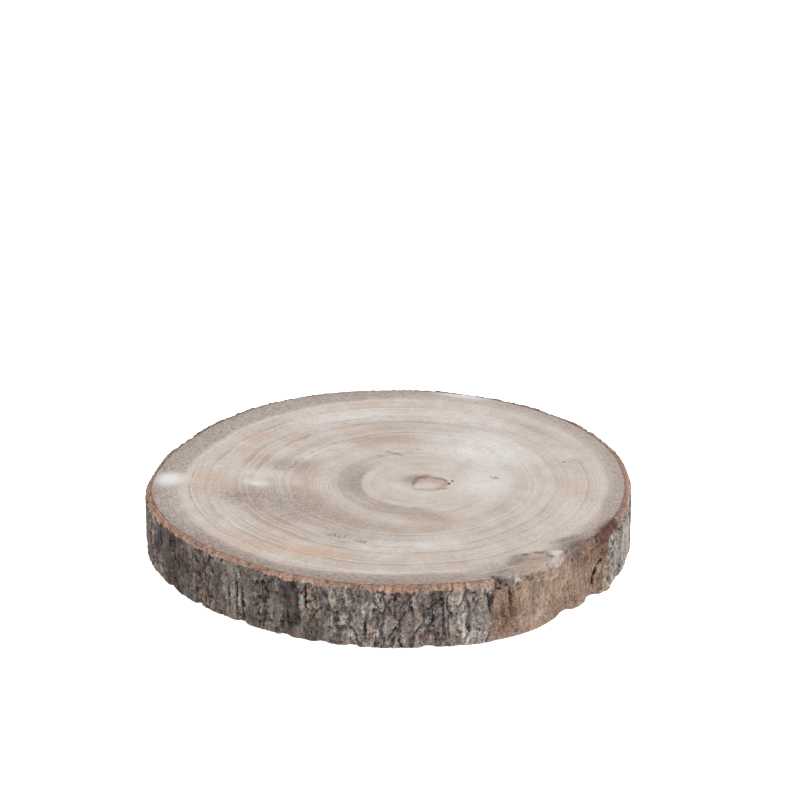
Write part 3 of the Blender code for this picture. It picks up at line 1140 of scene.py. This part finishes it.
def bark_finish():
    bark = Finish("bark", 0.92, 0.15)
    tall = bark.scaled(bark.place, (1, 1, 0.3))
    ragged = bark.warped(bark.place, 5, 3)
    hollow = bark.kept("hollow")
    crack = bark.kept("crack")
    pale = bark.kept("pale")
    rough = bark.kept("rough")

    middling = bark.noise(ragged, 3.2, 5, 0.7)
    streaks = bark.noise(tall, 1.3, 4, 0.7)
    grit = bark.noise(bark.place, 1.1, 4, 0.8)
    slow = bark.noise(ragged, 11, 3, 0.6)

    # The hollow term darkens the bark in hollows as painted shade and lightens it where it stands
    # proud as painted highlight.
    texture = bark.total((middling, 0.4), (streaks, 0.54), (grit, 0.7), (hollow, -0.45))
    texture = bark.product(bark.maths("SUBTRACT", texture, 0.58), rough)
    outer_tone = bark.total((texture, 1), (slow, 0.3), (pale, 0.15), (bark.kept("plate"), 0.12))
    greys = bark.ramp(outer_tone, 0.01, 0.53, BARK_GREYS)
    browns = bark.ramp(outer_tone, 0.01, 0.53, BARK_BROWNS)
    bark.colour = greys
    bark.lay(SLATE, bark.step(bark.noise(ragged, 14), 0.45, 0.62, 0, 0.4))
    flaked = bark.step(bark.noise(ragged, 8, 5, 0.7), 0.49, 0.62, 0.05, 0.75)
    flecked = bark.step(bark.noise(ragged, 2.6, 4, 0.7), 0.54, 0.66, 0, 0.5)
    browned = bark.largest(flaked, flecked, bark.kept("brown_stain"))
    bark.lay(browns, browned)

    # Thin cracks round every plate and splinter, and painted highlights: thin pale
    # lines along the ridges of the lumps.
    bent = bark.warped(bark.warped(bark.place, 9, 7), 1.6, 1.4)
    thin_cracks = 0
    for wide, high, broad, share in CRACK_SETS:
        inputs = {"Vector": bark.scaled(bent, (1 / wide, 1 / wide, 1 / high)), "Scale": 1}
        cells = bark.node("TexVoronoi", inputs, feature="DISTANCE_TO_EDGE")
        line = bark.step(cells.outputs["Distance"], 0, broad, 1, 0)
        thin_cracks = bark.largest(thin_cracks, bark.product(line, share))
    cracks_shown = bark.step(bark.noise(bark.moved(tall, (30, 0, 0)), 4.5), 0.46, 0.6)
    thin_cracks = bark.product(thin_cracks, cracks_shown, rough)
    ridge_highlights = bark.noise(bark.moved(bent, (0, 0, 90)), 5, 2, 0.5)
    ridge_highlights = bark.maths("ABSOLUTE", bark.maths("SUBTRACT", ridge_highlights, 0.5))
    ridge_highlights = bark.step(ridge_highlights, 0, 0.02, 1, 0)
    ridge_highlights = bark.product(ridge_highlights, bark.step(middling, 0.48, 0.6), rough)
    bark.lay(LICHEN_AND_HIGHLIGHT, ridge_highlights, pale, 1.1)
    dashes = bark.step(bark.noise(bark.scaled(bark.place, (1, 1, 0.28)), 0.8, 2, 0.6), 0.56, 0.68)

    # Bared fibres by the branch.
    bare_tone = bark.total((middling, 0.4), (streaks, 0.45), (grit, 0.55), (slow, 0.5))
    # The hollow term paints shade into the hollows of the bared fibres and highlights onto their
    # proud parts.
    bare_tone = bark.total((bare_tone, 1), (hollow, -0.6), (bark.kept("brown_stain"), -0.24))
    tans = bark.ramp(bare_tone, 0.35, 0.98, BARE_TANS)
    crumbs = bark.noise(bark.moved(bark.place, (0, 40, 0)), 1.5, 4, 0.8)
    tans = bark.mix(bark.step(crumbs, 0.56, 0.66, 0, 0.55), tans, BARK_GREYS[0])
    tans = bark.mix(bark.step(crumbs, 0.36, 0.44, 0.35, 0), tans, BARE_TANS[-1])
    bark.lay(tans, bark.step(bark.kept("bare"), 0.35, 0.65))
    greyed = bark.product(bark.kept("grey_stain"), bark.step(streaks, 0.4, 0.58, 0.3, 1))
    bark.lay(SLATE, greyed)

    # Lichen dust on what stands proud.
    dusted = bark.product(pale, bark.step(bark.kept("bare"), 0, 1, 0.45, 0.05))
    dusted = bark.largest(dusted, bark.kept("pale_stain"))
    dust = bark.total((bark.noise(ragged, 1.7, 5, 0.8), 0.7), (middling, 0.3), (hollow, -0.2))
    dust = bark.product(bark.step(dust, 0.38, 0.52), dusted, 0.8)
    bark.lay(LICHEN_AND_HIGHLIGHT, dust)
    bark.lay(CREVICE_SHADE_AND_BLACK, dashes, 0.44)

    # Crevices.  Painted shade darkens hollows and cracks to nearly black by how deep
    # they lie; thin cracks are dark lines, and some crevices red-brown.
    deep = bark.total((hollow, 0.75), (crack, 0.55), (grit, 0.2))
    bark.lay(CREVICE_SHADE_AND_BLACK, bark.step(deep, 0.74, 1.25, 0, 0.85))
    outer = bark.step(bark.kept("bare"), 0, 0.8, 0.8, 0.25)
    bark.lay(CREVICE_SHADE_AND_BLACK, thin_cracks, outer)
    reddened = bark.product(bark.step(deep, 0.55, 0.75), bark.step(streaks, 0.55, 0.68, 0, 0.6))
    bark.lay(CREVICE_RED, reddened, bark.step(slow, 0.45, 0.6))

    # Inner bark torn by the saw, and the sawn edge beside the knot.
    layers = bark.noise(bark.scaled(bark.place, (0.5, 0.5, 1.8)), 1.4, 4, 0.7)
    # The hollow term paints shade into the inner bark's hollows and highlights onto its proud
    # parts.
    rim_tone = bark.total((middling, 0.4), (layers, 0.5), (grit, 0.5), (slow, 0.3), (hollow, -0.35))
    rim = bark.ramp(rim_tone, 0.47, 0.94, RIM_TANS)
    inner = bark.total((bark.kept("inner_bark"), 1), (grit, 1.2), (middling, 1.2))
    bark.lay(rim, bark.step(inner, 1.42, 1.9))
    sawn = bark.ramp(rim_tone, 0.37, 0.85, SAWN_TANS)
    bark.lay(sawn, bark.kept("sawn"))
    white = bark.product(bark.kept("white_stain"), bark.step(streaks, 0.35, 0.6, 0.5, 1))
    bark.lay(WHITENED, white)
    edge = bark.ramp(rim_tone, 0.37, 0.85, EDGE_GREYS)
    bark.lay(edge, bark.kept("edge_stain"))
    reds = bark.ramp(rim_tone, 0.5, 0.97, BARK_REDS)
    red = bark.total((bark.kept("red_stain"), 1), (grit, 0.8), (middling, 0.8))
    bark.lay(reds, bark.step(red, 1.00, 1.45, 0, 0.95))
    # Black patches: painted shade along the deep cracks and holes, and dark specks.
    black = bark.total((bark.kept("black_stain_and_crack_shade"), 1), (grit, 2.2), (middling, 2.2))
    bark.lay(CREVICE_SHADE_AND_BLACK, bark.step(black, 2.55, 3.05, 0, 0.9))

    relief = bark.total((streaks, 1), (grit, 0.9))
    return bark.finish(relief, 1)


blank.materials.append(sawn_wood_finish("sawn_top", TOP_HEIGHT, 1.0))
blank.materials.append(sawn_wood_finish("sawn_underside", 0.0, 0.4))
blank.materials.append(bark_finish())
is_wood = np.zeros(len(drum), bool)
is_wood[wood_corners] = True
for face in blank.polygons:
    if is_wood[list(face.vertices)].any():
        face.material_index = 0 if drum_up[face.vertices[0]] > 0.5 else 1
    else:
        face.material_index = 2

# Its layout for baking: the upper face as a large disc, the underside as a
# smaller one, and the bark unrolled in three strips.
TOP_DISC = (0.305, 0.690, 0.300)
UNDERSIDE_DISC = (0.805, 0.800, 0.180)
STRIPS = 3
STRIP_HEIGHT = 0.120
STRIP_SPACING = 0.127
STRIP_MARGIN = 0.01
STRIP_FOOT = 0.004

loop_corner = np.empty(len(blank.loops), int)
blank.loops.foreach_get("vertex_index", loop_corner)
face_size = np.empty(len(blank.polygons), int)
blank.polygons.foreach_get("loop_total", face_size)
face_start = np.empty(len(blank.polygons), int)
blank.polygons.foreach_get("loop_start", face_start)
loop_face = np.repeat(np.arange(len(face_size)), face_size)
face_on_top = np.logical_and.reduceat(on_top[loop_corner], face_start)[loop_face]
face_under = np.logical_and.reduceat(on_underside[loop_corner], face_start)[loop_face]

unit = np.exp(1j * drum_turn)[loop_corner]
face_unit = np.add.reduceat(unit, face_start)[loop_face]
face_turns = (np.angle(face_unit) / (2 * np.pi)) % 1
turns = face_turns + np.angle(unit / face_unit) / (2 * np.pi)
strip = np.floor(face_turns * STRIPS)
layout = np.empty((len(loop_corner), 2))
layout[:, 0] = STRIP_MARGIN + (1 - 2 * STRIP_MARGIN) * (turns * STRIPS - strip)
layout[:, 1] = STRIP_FOOT + STRIP_SPACING * strip + STRIP_HEIGHT * drum_up[loop_corner]
flat_place = corners[loop_corner, :2] / (0.5 * (cad_high.x - cad_low.x))
for chosen, (centre_u, centre_v, radius) in (
    (face_on_top, TOP_DISC),
    (face_under, UNDERSIDE_DISC),
):
    layout[chosen, 0] = centre_u + radius * flat_place[chosen, 0]
    layout[chosen, 1] = centre_v + radius * flat_place[chosen, 1]
bake_layout = blank.uv_layers.new(name="OFBake")
bake_layout.data.foreach_set("uv", layout.ravel())

# --------------------
# The studio.
# A white paper floor that fades into white air, a soft light above and to one
# side, and a camera with a long lens, looking a little down.

FLOOR_SIZE = 12
FLOOR_GAP = 0.0002
GLOW = 0.9
LIGHT_TURN = (math.radians(20), math.radians(32), 0)
LIGHT_SPREAD = math.radians(50)
LIGHT_STRENGTH = 1.1
CAMERA_PLACE = (0.0070, -1.9005, 0.8937)
CAMERA_DOWN = math.radians(22.79)
CAMERA_LENS = 149.90
CAMERA_FILM = 36

bpy.ops.mesh.primitive_plane_add(size=FLOOR_SIZE, location=(0, 0, cad_low.z - FLOOR_GAP))
floor = bpy.context.object
floor.name = "floor"
paper = bpy.data.materials.new("paper")
paper.use_nodes = True
paper_shader = paper.node_tree.nodes["Principled BSDF"]
paper_shader.inputs["Base Color"].default_value = (0.9, 0.9, 0.9, 1)
paper_shader.inputs["Roughness"].default_value = 1.0
paper_shader.inputs["Specular IOR Level"].default_value = 0.0
paper_shader.inputs["Emission Color"].default_value = (1, 1, 1, 1)
paper_shader.inputs["Emission Strength"].default_value = GLOW
floor.data.materials.append(paper)
floor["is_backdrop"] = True

world = bpy.data.worlds.new("studio")
bpy.context.scene.world = world
world.use_nodes = True
air = world.node_tree.nodes["Background"]
air.inputs["Color"].default_value = (1, 1, 1, 1)
air.inputs["Strength"].default_value = GLOW

bpy.ops.object.light_add(type="SUN", rotation=LIGHT_TURN)
softbox = bpy.context.object
softbox.name = "softbox"
softbox.data.angle = LIGHT_SPREAD
softbox.data.energy = LIGHT_STRENGTH

bpy.ops.object.camera_add(location=CAMERA_PLACE, rotation=(math.pi / 2 - CAMERA_DOWN, 0, 0))
camera = bpy.context.object
camera.data.lens = CAMERA_LENS
camera.data.sensor_width = CAMERA_FILM
bpy.context.scene.camera = camera
bpy.context.scene.view_settings.view_transform = "Standard"

low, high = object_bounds()
